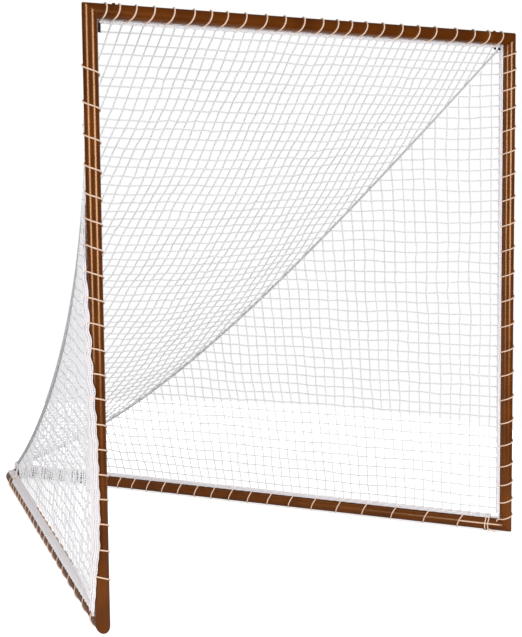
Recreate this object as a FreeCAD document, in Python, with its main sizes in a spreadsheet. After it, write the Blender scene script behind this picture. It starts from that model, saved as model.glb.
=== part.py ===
import FreeCAD, Part
import math
import os
import Sketcher
from FreeCAD import Placement, Rotation, Vector

# A full-size lacrosse goal: a mitred tube frame, an open mouth, two ground bars that
# run back to one bent tube on the ground, and a white net laced on all the way round.
# Millimetres. +X is to the right of the mouth, +Y is back towards the bend, +Z is up.
# The origin is on the ground, under the middle of the whole goal.

doc = FreeCAD.newDocument("lacrosse_goal")

SIZES = (
    ("goal_width", 1828.8, "over the two posts"),
    ("goal_height", 1828.8, "from under a foot to the top of the crossbar"),
    ("goal_depth", 2133.6, "mouth to the crossing of the two ground bars' centre lines"),
    ("tube_diameter", 44.45, "outside of every frame tube"),
    ("tube_wall", 1.5, "wall of every frame tube"),
    ("seam_gap", 0.3, "between the ends of two tubes that meet"),
    ("bend_radius", 65.0, "centre line of the rear bend"),
    ("bend_leg", 60.0, "straight leg at each end of the rear bend"),
    ("insert_play", 0.3, "radial play of an inner tube in an outer one"),
    ("insert_wall", 2.0, "wall of the inner corner tubes and sleeves"),
    ("insert_leg", 130.0, "corner point to the end of an inner corner tube"),
    ("sleeve_length", 150.0, "inner sleeve across a rear joint"),
    ("screw_reach", 82.0, "corner point to a frame screw"),
    ("screw_diameter", 6.0, "thread of a frame screw"),
    ("screw_length", 10.0, "under the head"),
    ("screw_play", 0.15, "radial play of a screw in its holes"),
    ("screw_head_diameter", 10.5, "button head"),
    ("screw_head_height", 3.3, "button head"),
    ("screw_socket", 4.0, "across the flats of the hexagon socket"),
    ("screw_socket_depth", 2.0, "hexagon socket"),
    ("border_rope", 8.0, "rope sewn into the edge of the net"),
    ("crease_cord", 6.0, "seam cord where the roof meets a side"),
    ("lacing_cord", 4.5, "cord that laces the net to the frame"),
    ("cord_gap", 0.3, "between a cord and what it lies on"),
    ("post_rope_turn", 50.0, "degrees from straight back to the left, to a post's rope"),
    ("crossbar_rope_turn", 55.0, "degrees from straight back down to the crossbar's rope"),
    ("lacing_start", 58.0, "corner point to the first turn on the crossbar"),
    ("left_post_lacing_start", 112.0, "corner point to the first turn on the left post"),
    ("right_post_lacing_start", 40.0, "corner point to the first turn on the right post"),
    ("left_post_turns", 19, "turns of lacing"),
    ("right_post_turns", 22, "turns of lacing"),
    ("crossbar_turns", 24, "turns of lacing"),
    ("ground_bar_turns", 21, "turns of lacing on each ground bar"),
    ("ground_lacing_start", 120.0, "corner point to the first turn on a ground bar"),
    ("ground_lacing_end", 262.0, "last turn to the crossing of the centre lines"),
    ("stroke_rise", 26.0, "travel of a turn while it crosses the outside of a tube"),
    ("net_thickness", 3.0, "netting"),
    ("net_cell", 215.0, "one coarse cell of the simplified netting"),
    ("net_strand", 14.0, "strand of the simplified netting"),
    ("net_sag", 208.0, "drop of each crease below its straight line, at the middle"),
    ("net_edge", 12.5, "border rope's centre to the edge of the netting"),
    ("net_tail", 190.0, "knot to the rear end of the netting"),
    ("rear_knot_diameter", 40.0, "gathered net and rope ends on the rear bend"),
    ("tie_turns", 3, "turns of each short tie"),
    ("tie_gap", 1.2, "between a tie and what it binds"),
    ("dark_tie_cord", 3.0, "dark cord in each top corner"),
    ("dark_tie_diameter", 9.0, "outside of the coil that the dark cord makes"),
    ("dark_tie_turns", 6, "turns of each dark coil"),
    ("tie_reach", 8.0, "end of the crossbar's rope to the middle of a dark tie"),
)
sheet = doc.addObject("Spreadsheet::Sheet", "sizes")
for row, (alias, number, note) in enumerate(SIZES, start=1):
    sheet.set(f"A{row}", alias)
    sheet.set(f"B{row}", str(number))
    sheet.set(f"C{row}", note)
    sheet.setAlias(f"B{row}", alias)
doc.recompute()


def value(expression):
    """The number that an expression in the sheet's names gives."""
    return float(sheet.evalExpression(expression))


# Places worked out from the sizes
HALF_SPAN = "(sizes.goal_width - sizes.tube_diameter) / 2"
POST_LENGTH = "(sizes.goal_height - sizes.tube_diameter)"
BAR_LENGTH = f"sqrt(({HALF_SPAN})^2 + sizes.goal_depth^2)"
TUBE_BORE = "(sizes.tube_diameter - 2 * sizes.tube_wall)"
INSERT_DIAMETER = "(sizes.tube_diameter - 2 * sizes.tube_wall - 2 * sizes.insert_play)"
INSERT_BORE = f"({INSERT_DIAMETER} - 2 * sizes.insert_wall)"

tube_radius = value("tube_diameter / 2")
half_span = value(HALF_SPAN)
post_length = value(POST_LENGTH)
bar_length = value(BAR_LENGTH)
cord_gap = value("cord_gap")
lacing = value("lacing_cord")
rope_radius = value("border_rope / 2")
crease_radius = value("crease_cord / 2")

# Each ground bar turns inwards by this angle from straight back
splay = math.atan2(half_span, value("goal_depth"))
splay_degrees = math.degrees(splay)
tangent_length = value("bend_radius") / math.tan(splay)
bend_setback = value("bend_radius") / math.sin(splay) - value("bend_radius")
rear_joint = tangent_length + value("bend_leg")

# The goal stands on the lacing under its ground bars, which is worn flat by a tenth
lacing_flat = lacing / 10
bar_height = tube_radius + cord_gap + lacing - lacing_flat
top_height = bar_height + post_length
mouth_y = -(value("goal_depth") - bend_setback) / 2
vertex_y = mouth_y + value("goal_depth")

UP = Vector(0, 0, 1)
RIGHT = Vector(1, 0, 0)
BACK = Vector(0, 1, 0)


def bar_direction(side):
    """Unit vector along a ground bar, from its foot to the rear. Side is -1 or 1."""
    return Vector(-side * math.sin(splay), math.cos(splay), 0)


def foot(side):
    return Vector(side * half_span, mouth_y, bar_height)


def top_corner(side):
    return Vector(side * half_span, mouth_y, top_height)


def frame_at(point, x_direction, z_direction):
    """Placement with its origin at point and its X and Z axes along two directions."""
    y_direction = z_direction.cross(x_direction)
    return Placement(point, Rotation(x_direction, y_direction, z_direction, "ZXY"))


# Sketches


def origin_plane(body, role):
    return next(f for f in body.Origin.OriginFeatures if f.Role == role)


def new_sketch(body, name, role, turn=0.0, shift=None):
    """A sketch on one of the body's origin planes, turned about its own Y axis."""
    sketch = body.newObject("Sketcher::SketchObject", name)
    sketch.AttachmentSupport = [(origin_plane(body, role), "")]
    sketch.MapMode = "FlatFace"
    sketch.AttachmentOffset = Placement(Vector(), Rotation(Vector(0, 1, 0), turn))
    if shift:
        sketch.setExpression("AttachmentOffset.Base.z", shift)
    return sketch


def bind(sketch, index, name, expression):
    sketch.renameConstraint(index, name)
    sketch.setExpression(f"Constraints.{name}", expression)


def add_circle(sketch, name, diameter, across="0", up="0"):
    """A circle whose diameter and centre are bound to expressions."""
    centre = Vector(value(across), value(up), 0)
    shape = Part.Circle(centre, Vector(0, 0, 1), value(diameter) / 2)
    circle = sketch.addGeometry(shape)
    bind(sketch, sketch.addConstraint(
        Sketcher.Constraint("Diameter", circle, value(diameter))), f"{name}_size", diameter)
    if across == "0" and up == "0":
        sketch.addConstraint(Sketcher.Constraint("Coincident", circle, 3, -1, 1))
        return
    for kind, expression in (("DistanceX", across), ("DistanceY", up)):
        bind(sketch, sketch.addConstraint(
            Sketcher.Constraint(kind, -1, 1, circle, 3, value(expression))),
            f"{name}_{kind}", expression)


def add_outline(sketch, points, closed=True):
    """Straight lines through points, each given as two expressions."""
    numbers = [Vector(value(x), value(y), 0) for x, y in points]
    count = len(points) if closed else len(points) - 1
    lines = [sketch.addGeometry(Part.LineSegment(numbers[i], numbers[(i + 1) % len(points)]))
             for i in range(count)]
    for i in range(len(lines) if closed else len(lines) - 1):
        sketch.addConstraint(Sketcher.Constraint(
            "Coincident", lines[i], 2, lines[(i + 1) % len(lines)], 1))
    for i, (x, y) in enumerate(points):
        line, end = (lines[i], 1) if i < len(lines) else (lines[-1], 2)
        for kind, expression in (("DistanceX", x), ("DistanceY", y)):
            bind(sketch, sketch.addConstraint(
                Sketcher.Constraint(kind, -1, 1, line, end, value(expression))),
                f"{kind}_{i}", expression)
    return lines


def ring(body, name, outer, inner, role="XY_Plane", shift=None):
    sketch = new_sketch(body, name, role, shift=shift)
    add_circle(sketch, "outside", outer)
    add_circle(sketch, "inside", inner)
    return sketch


def cut_through(body, name, sketch):
    """Pocket right through, both ways from the sketch."""
    pocket = body.newObject("PartDesign::Pocket", name)
    pocket.Profile = sketch
    pocket.Type = "ThroughAll"
    pocket.SideType = "Symmetric"


def wall_hole(body, name, role, across, up):
    """Screw hole through one wall, behind an origin plane of the body."""
    sketch = new_sketch(body, f"{name}_sketch", role)
    add_circle(sketch, "hole", SCREW_HOLE, across, up)
    pocket = body.newObject("PartDesign::Pocket", name)
    pocket.Profile = sketch
    pocket.setExpression("Length", "sizes.tube_diameter")


# Frame tubes

SCREW_HOLE = "sizes.screw_diameter + 2 * sizes.screw_play"
MITRE_REACH = "sizes.tube_diameter"
MITRE_GAP = "sizes.seam_gap * 0.7071"


def straight_tube(label, length, mitres, screw_heights=()):
    """A round tube along Z between two centre-line points, mitred towards its neighbours.

    mitres holds one entry per end: the angle from X of the neighbour, or None for a
    square end. The wall runs past a mitred end by half a diameter, out to the tip.
    Screw holes go through the wall on the side that faces -X.
    """
    body = doc.addObject("PartDesign::Body", label)
    section = ring(body, f"{label}_section", "sizes.tube_diameter", TUBE_BORE,
                   shift="-sizes.tube_diameter / 2")
    pad = body.newObject("PartDesign::Pad", f"{label}_pad")
    pad.Profile = section
    past_end = "sizes.tube_diameter" if mitres[1] is not None else "sizes.tube_diameter / 2"
    pad.setExpression("Length", f"{length} + {past_end}")
    k = MITRE_REACH
    start = [(f"-{k}", f"-{k} + {MITRE_GAP}"), (k, f"{k} + {MITRE_GAP}"),
             (k, f"-{k} + {MITRE_GAP}")]
    end = [(f"-{k}", f"{length} + {k} - {MITRE_GAP}"), (k, f"{length} - {k} - {MITRE_GAP}"),
           (k, f"{length} + {k} - {MITRE_GAP}")]
    for name, degrees, triangle in (("start", mitres[0], start), ("end", mitres[1], end)):
        if degrees is not None:
            sketch = new_sketch(body, f"{label}_{name}_mitre", "XZ_Plane", turn=degrees)
            add_outline(sketch, triangle)
            cut_through(body, f"{label}_{name}_cut", sketch)
    for number, height in enumerate(screw_heights, start=1):
        wall_hole(body, f"{label}_screw_hole_{number}", "YZ_Plane", "0", height)
    return body


for side, name in ((-1, "left"), (1, "right")):
    post = straight_tube(f"{name}_post", POST_LENGTH, (0, side * (90 - splay_degrees)))
    post.Placement = frame_at(foot(side), bar_direction(side), UP)

span = f"2 * {HALF_SPAN}"
crossbar = straight_tube("crossbar", span, (0, 0),
                         ("sizes.screw_reach", f"{span} - sizes.screw_reach"))
crossbar.Placement = frame_at(top_corner(-1), -UP, RIGHT)

REAR_JOINT = (f"(sizes.bend_radius * sizes.goal_depth / ({HALF_SPAN}) + sizes.bend_leg)")
BAR_REACH = f"({BAR_LENGTH} - {REAR_JOINT} - sizes.seam_gap)"
for side, name in ((-1, "left"), (1, "right")):
    bar = straight_tube(f"{name}_ground_bar", BAR_REACH, (0, None), ("sizes.screw_reach",))
    bar.Placement = frame_at(foot(side), UP, bar_direction(side))

# Rear bend: one tube bent round the back corner, with a straight leg each side. Its own
# origin is the centre of the bend and its Z points down, so the tube comes from the left
# leg at +X, turns round Z in short straight steps, and goes on into the right leg.

BEND_STEPS = 8
TURN = f"(180 deg - 2 * atan(({HALF_SPAN}) / sizes.goal_depth))"
CORNER_RADIUS = f"(sizes.bend_radius / cos({TURN} / {2 * BEND_STEPS}))"
bend_path = [("sizes.bend_radius", "-sizes.bend_leg")]
for step in range(BEND_STEPS):
    corner_angle = f"({TURN} * {step + 0.5} / {BEND_STEPS})"
    bend_path.append((f"{CORNER_RADIUS} * cos({corner_angle})",
                      f"{CORNER_RADIUS} * sin({corner_angle})"))
bend_path.append((f"sizes.bend_radius * cos({TURN}) - sizes.bend_leg * sin({TURN})",
                  f"sizes.bend_radius * sin({TURN}) + sizes.bend_leg * cos({TURN})"))
rear_bend = doc.addObject("PartDesign::Body", "rear_bend")
path = new_sketch(rear_bend, "rear_bend_path", "XY_Plane")
add_outline(path, bend_path, closed=False)
bend_section = new_sketch(rear_bend, "rear_bend_section", "XZ_Plane",
                          shift="sizes.bend_leg")
for circle, diameter in (("outside", "sizes.tube_diameter"), ("inside", TUBE_BORE)):
    add_circle(bend_section, circle, diameter, across="sizes.bend_radius")
bend_pipe = rear_bend.newObject("PartDesign::AdditivePipe", "rear_bend_pipe")
bend_pipe.Profile = bend_section
bend_pipe.Spine = path
bend_pipe.Transition = "Right corner"
to_left_leg = UP.cross(bar_direction(-1))
bend_centre = Vector(0, vertex_y - value("bend_radius") / math.sin(splay), bar_height)
rear_bend.Placement = frame_at(bend_centre, to_left_leg, -UP)

# Inner corner tubes: mitred elbows that slide into two frame tubes at a corner. In the
# body's own frame the legs run along +X and +Z. The leg along X takes a screw from -Z,
# and the other leg is a push fit in its post.


def corner_insert(label, place):
    body = doc.addObject("PartDesign::Body", label)
    spine = new_sketch(body, f"{label}_path", "XZ_Plane")
    add_outline(spine, [("sizes.insert_leg", "0"), ("0", "0"), ("0", "sizes.insert_leg")],
                closed=False)
    section = ring(body, f"{label}_section", INSERT_DIAMETER, INSERT_BORE,
                   "YZ_Plane", shift="sizes.insert_leg")
    pipe = body.newObject("PartDesign::AdditivePipe", f"{label}_pipe")
    pipe.Profile = section
    pipe.Spine = spine
    pipe.Transition = "Right corner"
    doc.recompute()
    wall_hole(body, f"{label}_hole", "XY_Plane", "sizes.screw_reach", "0")
    body.Placement = place


for side, name in ((-1, "left"), (1, "right")):
    corner_insert(f"top_{name}_insert", frame_at(top_corner(side), RIGHT * -side, -UP))
    corner_insert(f"{name}_foot_insert", frame_at(foot(side), bar_direction(side), UP))

# Straight inner sleeves across the two rear joints, a push fit on both sides

for side, name in ((-1, "left"), (1, "right")):
    sleeve = doc.addObject("PartDesign::Body", f"rear_{name}_sleeve")
    sleeve_ring = ring(sleeve, f"rear_{name}_sleeve_section", INSERT_DIAMETER, INSERT_BORE,
                       shift="-sizes.sleeve_length / 2")
    sleeve_pad = sleeve.newObject("PartDesign::Pad", f"rear_{name}_sleeve_pad")
    sleeve_pad.Profile = sleeve_ring
    sleeve_pad.setExpression("Length", "sizes.sleeve_length")
    sleeve.Placement = frame_at(foot(side) + bar_direction(side) * (bar_length - rear_joint),
                                UP, bar_direction(side))

# Frame screws: button heads out of sight, on the top of the crossbar and under the
# ground bars. A screw points along -Z, its head above z = 0.


def button_screw():
    thread = value("screw_diameter") / 2
    head = value("screw_head_diameter") / 2
    high = value("screw_head_height")
    tip = -value("screw_length")
    outline = [(0, tip), (thread, tip), (thread, 0), (head, 0), (head * 0.8, high),
               (0, high), (0, tip)]
    turned = Part.Face(Part.makePolygon([Vector(x, 0, z) for x, z in outline])).revolve(
        Vector(), UP, 360)
    corner = value("screw_socket") / math.sqrt(3)
    hexagon = Part.makePolygon([
        Vector(corner * math.cos(math.radians(60 * i)), corner * math.sin(math.radians(60 * i)),
               high - value("screw_socket_depth")) for i in range(7)])
    socket = Part.Face(hexagon).extrude(UP * high)
    return turned.cut(socket)


def screw_places():
    """Point on the tube's centre line and outward direction, for every frame screw."""
    for side in (-1, 1):
        yield top_corner(side) - RIGHT * (side * value("screw_reach")), UP
        yield foot(side) + bar_direction(side) * value("screw_reach"), -UP


screws = []
for point, outward in screw_places():
    screw = button_screw()
    screw.Placement = Placement(point + outward * tube_radius, Rotation(UP, outward))
    screws.append(screw)
frame_screws = doc.addObject("Part::Feature", "frame_screws")
frame_screws.Shape = Part.makeCompound(screws)

# Border ropes. On both posts the rope lies behind the tube and to its left: outside the
# left post and inside the right one. On the crossbar it hangs below and behind. On a
# ground bar it runs over the top, from beside the foot to the knot on the rear bend.

rope_reach = tube_radius + cord_gap + rope_radius
knot_radius = value("rear_knot_diameter") / 2
knot = Vector(0, vertex_y - bend_setback, bar_height + tube_radius + cord_gap + knot_radius)
# The ropes and creases stop where the rear tie passes round the knot
knot_clear = ((knot_radius + value("tie_gap") + lacing / 2) / math.cos(math.pi / 8)
              + lacing / 2 + cord_gap)


post_rope_turn = math.radians(value("post_rope_turn"))
crossbar_rope_turn = math.radians(value("crossbar_rope_turn"))
post_rope_way = Vector(-math.sin(post_rope_turn), math.cos(post_rope_turn), 0)
crossbar_rope_way = BACK * math.cos(crossbar_rope_turn) - UP * math.sin(crossbar_rope_turn)
net_top = top_height + rope_reach * crossbar_rope_way.z


def net_corner(side, height):
    """Point on a post's border rope at this height."""
    point = foot(side) + post_rope_way * rope_reach
    return Vector(point.x, point.y, height)


def rope_between(label, start, end, diameter):
    """A straight round rope whose thickness is bound to its cell."""
    rope = doc.addObject("Part::Cylinder", label)
    rope.setExpression("Radius", f"sizes.{diameter} / 2")
    rope.Height = (end - start).Length
    rope.Placement = Placement(start, Rotation(UP, end - start))
    return rope


rope_height = bar_height + rope_reach
ground_rope_start = {side: net_corner(side, rope_height) for side in (-1, 1)}
for side, name in ((-1, "left"), (1, "right")):
    start = ground_rope_start[side]
    aim = (knot - start).normalize()
    first_point = start + aim * (2 * rope_radius + cord_gap)
    last_point = knot - aim * knot_clear
    rope_between(f"{name}_ground_border_rope", first_point, last_point, "border_rope")
    rope_between(f"{name}_post_border_rope", net_corner(side, rope_height),
                 net_corner(side, top_height), "border_rope")
# The crossbar's rope ends short of each post and its rope
rope_start, rope_end = (
    top_corner(side) + crossbar_rope_way * rope_reach - RIGHT * side * (
        tube_radius + rope_radius + (2 * rope_radius + cord_gap if side > 0 else 0))
    for side in (-1, 1))
rope_between("crossbar_border_rope", rope_start, rope_end, "border_rope")

def faceted_cord(points, radius, sides):
    """Solid of constant section along straight runs, mitred at every corner."""
    headings = [(b - a).normalize() for a, b in zip(points, points[1:])]
    side_a = headings[0].cross(Vector(0.3, 0.2, 1)).normalize()
    side_b = headings[0].cross(side_a)
    corners = [points[0] + side_a * (radius * math.cos(2 * math.pi * k / sides))
               + side_b * (radius * math.sin(2 * math.pi * k / sides))
               for k in range(sides)]
    faces = [Part.Face(Part.makePolygon(corners + [corners[0]]))]
    for i, heading in enumerate(headings):
        following = headings[i + 1] if i + 1 < len(headings) else heading
        normal = heading + following
        ahead = [c + heading * ((points[i + 1] - c).dot(normal) / heading.dot(normal))
                 for c in corners]
        for k in range(sides):
            m = (k + 1) % sides
            faces.append(Part.Face(Part.makePolygon(
                [corners[k], corners[m], ahead[m], ahead[k], corners[k]])))
        corners = ahead
    faces.append(Part.Face(Part.makePolygon(corners + [corners[0]])))
    shell = Part.makeShell(faces)
    shell.sewShape()
    solid = Part.Solid(shell)
    if solid.Volume < 0:
        solid.reverse()
    return solid


# Crease cords: where the roof and a side of the net are sewn together. Each hangs in an
# arc from the top corner of the net to the knot.


CREASE_STEPS = 14


def crease_points(side):
    """Top, middle and lower end of a crease, in the upright plane of that side."""
    top = net_corner(side, net_top)
    middle = (top + knot) * 0.5 - UP * value("net_sag")
    return top, middle, knot


def crease_path(side, skip_top, skip_end):
    """Points along the crease's arc, without a length at each end."""
    edge = Part.Arc(*crease_points(side)).toShape()
    low, high = edge.ParameterRange
    circle = edge.Curve
    low += skip_top / circle.Radius
    high -= skip_end / circle.Radius
    return [circle.value(low + (high - low) * i / CREASE_STEPS)
            for i in range(CREASE_STEPS + 1)]


for side, name in ((-1, "left"), (1, "right")):
    crease = doc.addObject("Part::Feature", f"{name}_crease_cord")
    crease.Shape = faceted_cord(crease_path(side, 12.0, knot_clear), crease_radius, 8)

# Netting. Each side is a flat sheet below its crease, and the roof is a sheet that sags
# between the creases. The cells are far coarser than the real 38 mm mesh.

cell = value("net_cell")
strand = value("net_strand")
net_thickness = value("net_thickness")
net_edge = value("net_edge")
crease_margin = crease_radius + cord_gap


def circle_through(first, second, third):
    return Part.Arc(first, second, third).toShape().Curve


def clipped_cells(region, squares):
    """Outlines of the cells, cut to the region that the border leaves free."""
    clipped = region.common(Part.makeCompound(squares)).Faces
    return [face.OuterWire for face in clipped if face.Area > (cell - strand) ** 2 / 4]


def grid_squares(at, low_u, high_u, low_v, high_v, step_v):
    """Square holes of the net as faces, from (low_u, low_v) on."""
    squares = []
    u = low_u
    while u < high_u:
        v = low_v
        while v < high_v:
            wide, high = cell - strand, step_v * (1 - strand / cell)
            corners = [at(u + a, v + b) for a, b in
                       ((0, 0), (wide, 0), (wide, high), (0, high), (0, 0))]
            squares.append(Part.Face(Part.makePolygon(corners)))
            v += step_v
        u += cell
    return squares


def side_net(side):
    """Flat holed sheet in the upright plane through a post's rope and the knot."""
    origin = net_corner(side, 0)
    across = Vector(knot.x - origin.x, knot.y - origin.y, 0)
    reach = across.Length
    across.normalize()

    def at(u, v):
        return origin + across * u + UP * v

    top, middle, end = crease_points(side)
    flat = circle_through(*(Vector((p - origin).dot(across), p.z, 0)
                            for p in (top, middle, end)))
    centre, arc_radius = flat.Center, flat.Radius + crease_margin

    def arc_height(u, inset):
        return centre.y - math.sqrt((arc_radius + inset) ** 2 - (u - centre.x) ** 2)

    def lower_edge(u, inset):
        return rope_height + (knot.z - rope_height) * u / reach + net_edge + inset

    def outline(inset):
        """Edge of the sheet, or of the part of it that may have holes."""
        left, right = net_edge + inset, reach - value("net_tail") - inset
        corners = [at(left, arc_height(left, inset)), at(left, lower_edge(left, inset)),
                   at(right, lower_edge(right, inset)), at(right, arc_height(right, inset))]
        half_way = (left + right) / 2
        return Part.Wire([
            Part.LineSegment(corners[0], corners[1]).toShape(),
            Part.LineSegment(corners[1], corners[2]).toShape(),
            Part.LineSegment(corners[2], corners[3]).toShape(),
            Part.Arc(corners[3], at(half_way, arc_height(half_way, inset)),
                     corners[0]).toShape()])

    squares = grid_squares(at, net_edge + strand, reach, lower_edge(0, strand), top_height,
                           cell)
    holes = clipped_cells(Part.Face(outline(strand)), squares)
    face = Part.makeFace([outline(0)] + holes, "Part::FaceMakerBullseye")
    normal = across.cross(UP)
    solid = face.extrude(normal * net_thickness)
    solid.translate(normal * (-net_thickness / 2))
    print(f"{len(holes)} gaps in a side net")
    return solid


def roof_net():
    """Sheet that curves with the creases, cut to a triangle between them."""
    top, middle, end = crease_points(1)
    profile = circle_through(*(Vector(0, p.y, p.z) for p in (top, middle, end)))
    centre = profile.Center
    front = top.y + net_edge
    rear = knot.y - value("net_tail") * math.cos(splay)

    def arc_height(y, arc_radius):
        return centre.z - math.sqrt(arc_radius ** 2 - (y - centre.y) ** 2)

    def skin(arc_radius):
        return [Vector(0, y, arc_height(y, arc_radius))
                for y in (front, (front + rear) / 2, rear)]

    outer = skin(profile.Radius + net_thickness / 2)
    inner = skin(profile.Radius - net_thickness / 2)
    section = Part.Wire([
        Part.Arc(*outer).toShape(),
        Part.LineSegment(outer[2], inner[2]).toShape(),
        Part.Arc(*inner).toShape(),
        Part.LineSegment(inner[0], outer[0]).toShape()])
    half_width = half_span + rope_reach
    sheet_wide = Part.Face(section).extrude(RIGHT * 2 * half_width)
    sheet_wide.translate(RIGHT * -half_width)

    def side_x(side, y):
        """Where the crease of a side is at this depth."""
        return net_corner(side, 0).x * (knot.y - y) / (knot.y - top.y)

    def plan(inset):
        """The roof seen from above, or the part of it that may have holes."""
        margin = (crease_margin + inset) / math.cos(splay)
        near, far = front - 1 + inset, rear + 1 - inset
        points = [Vector(side_x(side, y) - side * margin, y, 0)
                  for side, y in ((-1, near), (1, near), (1, far), (-1, far))]
        return Part.Face(Part.makePolygon(points + [points[0]]))

    row_step = cell * math.cos(math.atan2(top_height, value("goal_depth")))
    columns = math.ceil(half_width / cell)
    squares = grid_squares(lambda u, v: Vector(u, v, 0), -columns * cell + strand / 2,
                           columns * cell, front + strand, rear, row_step)
    holes = clipped_cells(plan(strand), squares)
    posts = [Part.Face(wire).extrude(UP * top_height * 2) for wire in holes]
    print(f"{len(posts)} gaps in the roof net")
    return sheet_wide.common(plan(0).extrude(UP * top_height * 2)).cut(
        Part.makeCompound(posts))


for side, name in ((-1, "left"), (1, "right")):
    net = doc.addObject("Part::Feature", f"{name}_side_net")
    net.Shape = side_net(side)
roof = doc.addObject("Part::Feature", "roof_net")
roof.Shape = roof_net()

# Lacing. Each cord is one unbroken faceted tube. In its own frame the bound tube runs
# along Z and the rope lies towards +X. A turn goes round both through eight corners,
# crosses the outside of the tube at a slant, and makes the rest of its way along the rope.

LACING_SIDES = 4
TURN_CORNERS = 8


def wrap_corner(corner, bound_radius, rope_offset, rope_bound):
    """Corner of the belt round a tube at the origin and a rope beside it."""
    angles = [2 * math.pi * (corner + i) / TURN_CORNERS for i in (0, 1)]
    reach = [max(bound_radius, rope_offset[0] * math.cos(a) + rope_offset[1] * math.sin(a)
                 + rope_bound) for a in angles]
    determinant = math.sin(angles[1] - angles[0])
    x = (reach[0] * math.sin(angles[1]) - reach[1] * math.sin(angles[0])) / determinant
    y = (reach[1] * math.cos(angles[0]) - reach[0] * math.cos(angles[1])) / determinant
    return x, y


def lacing_points(turns, start, pitch, rise, hand, cord_radius, rope_offset, rope_size, gap):
    """Corners of the cord's path. rope_offset gives the rope's place at a height."""
    points = []
    crossing_steps = 5
    crossing = rise / crossing_steps
    resting = (pitch - rise) / (TURN_CORNERS - crossing_steps)
    height = start
    for _ in range(turns):
        for corner in range(TURN_CORNERS):
            x, y = wrap_corner(corner, tube_radius + gap + cord_radius,
                               rope_offset(height), rope_size + gap + cord_radius)
            points.append(Vector(x, hand * y, height))
            height += crossing if 1 <= corner < 1 + crossing_steps else resting
    return points


def least_self_gap(points, diameter):
    """Smallest clear distance between runs of the cord that aren't neighbours."""
    runs = [Part.LineSegment(a, b).toShape() for a, b in zip(points, points[1:])]
    look_ahead = TURN_CORNERS + 4
    nearest = math.inf
    for i in range(min(len(runs), 2 * TURN_CORNERS)):
        for j in range(i + 3, min(len(runs), i + look_ahead)):
            nearest = min(nearest, runs[i].distToShape(runs[j])[0])
    return nearest - diameter


def add_lacing(label, place, points, diameter, floor=None):
    """Lacing node from its path, cut flat at a local X where it stands on the ground."""
    cord = faceted_cord(points, diameter / 2, LACING_SIDES)
    if floor is not None:
        long_enough = 2 * value("goal_depth")
        wide = 4 * value("tube_diameter")
        cord = cord.cut(Part.makeBox(wide, wide, long_enough,
                                     Vector(floor - wide, -wide / 2, -long_enough / 4)))
    node = doc.addObject("Part::Feature", label)
    node.Shape = cord
    node.Placement = place
    print(f"{label}: least gap to itself {least_self_gap(points, diameter):.1f} mm")


# The turns of the left post slope down to the right, and those of the others up
POST_HAND = {-1: -1, 1: 1}


def fixed_rope(_height):
    return rope_reach, 0.0


def even_lacing(turns, start, length, rope_offset, hand):
    pitch = length / turns
    return lacing_points(turns, start, pitch, value("stroke_rise"), hand, lacing / 2,
                         rope_offset, rope_radius, cord_gap)


for side, name in ((-1, "left"), (1, "right")):
    margin = value(f"{name}_post_lacing_start")
    points = even_lacing(int(value(f"{name}_post_turns")), margin,
                         post_length - 2 * margin, fixed_rope, POST_HAND[side])
    add_lacing(f"{name}_post_lacing", frame_at(foot(side), post_rope_way, UP), points, lacing)

margin = value("lacing_start")
points = even_lacing(int(value("crossbar_turns")), margin, 2 * (half_span - margin),
                     fixed_rope, -1)
add_lacing("crossbar_lacing", frame_at(top_corner(-1), crossbar_rope_way, RIGHT), points,
           lacing)

for side, name in ((-1, "left"), (1, "right")):
    place = frame_at(foot(side), UP, bar_direction(side))
    start_of_rope = place.inverse().multVec(ground_rope_start[side])
    end_of_rope = place.inverse().multVec(knot)

    def drifting_rope(height):
        share = (height - start_of_rope.z) / (end_of_rope.z - start_of_rope.z)
        at = start_of_rope + (end_of_rope - start_of_rope) * share
        return at.x, -side * at.y

    margin = value("ground_lacing_start")
    length = bar_length - margin - value("ground_lacing_end")
    points = even_lacing(int(value("ground_bar_turns")), margin, length, drifting_rope, -side)
    add_lacing(f"{name}_ground_lacing", place, points, lacing, floor=-bar_height)

# Short ties: one round the rear bend and its knot, and a dark one in each top corner, a
# coiled end of cord that hangs from the crossbar's rope.


def add_tie(label, place, start, rope_offset, rope_size, floor=None):
    gap = value("tie_gap")
    pitch = 1.6 * lacing
    points = lacing_points(int(value("tie_turns")), start, pitch, pitch / 2, 1, lacing / 2,
                           rope_offset, rope_size, gap)
    add_lacing(label, place, points, lacing, floor)


def coil_points(width, diameter, turns):
    """Corners of a plain coil that runs along +Z from z = 0, this wide outside."""
    reach = (width - diameter) / 2
    pitch = 1.5 * diameter
    return [Vector(reach * math.cos(2 * math.pi * i / TURN_CORNERS),
                   reach * math.sin(2 * math.pi * i / TURN_CORNERS),
                   diameter / 2 + pitch * i / TURN_CORNERS)
            for i in range(turns * TURN_CORNERS + 1)]


tie_width = 1.6 * lacing * value("tie_turns")
# The rear tie is raised so that it clears the curve of the bend and rests on its flat
lift = value("tie_gap") - cord_gap
crown = Vector(0, vertex_y - bend_setback, bar_height + lift)
add_tie("rear_tie", frame_at(crown, UP, RIGHT), -tie_width / 2,
        lambda height: (knot.z - bar_height, 0.0), knot_radius, floor=-bar_height - lift)
for side, name, end in ((-1, "left", rope_start), (1, "right", rope_end)):
    top = end - RIGHT * side * value("tie_reach") - UP * (rope_radius + cord_gap)
    points = coil_points(value("dark_tie_diameter"), value("dark_tie_cord"),
                         int(value("dark_tie_turns")))
    add_lacing(f"top_{name}_tie", frame_at(top, RIGHT, -UP), points, value("dark_tie_cord"))

rear_knot = doc.addObject("Part::Sphere", "rear_knot")
rear_knot.setExpression("Radius", "sizes.rear_knot_diameter / 2")
rear_knot.Placement.Base = knot

# Check every object, then write one file per piece

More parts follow.
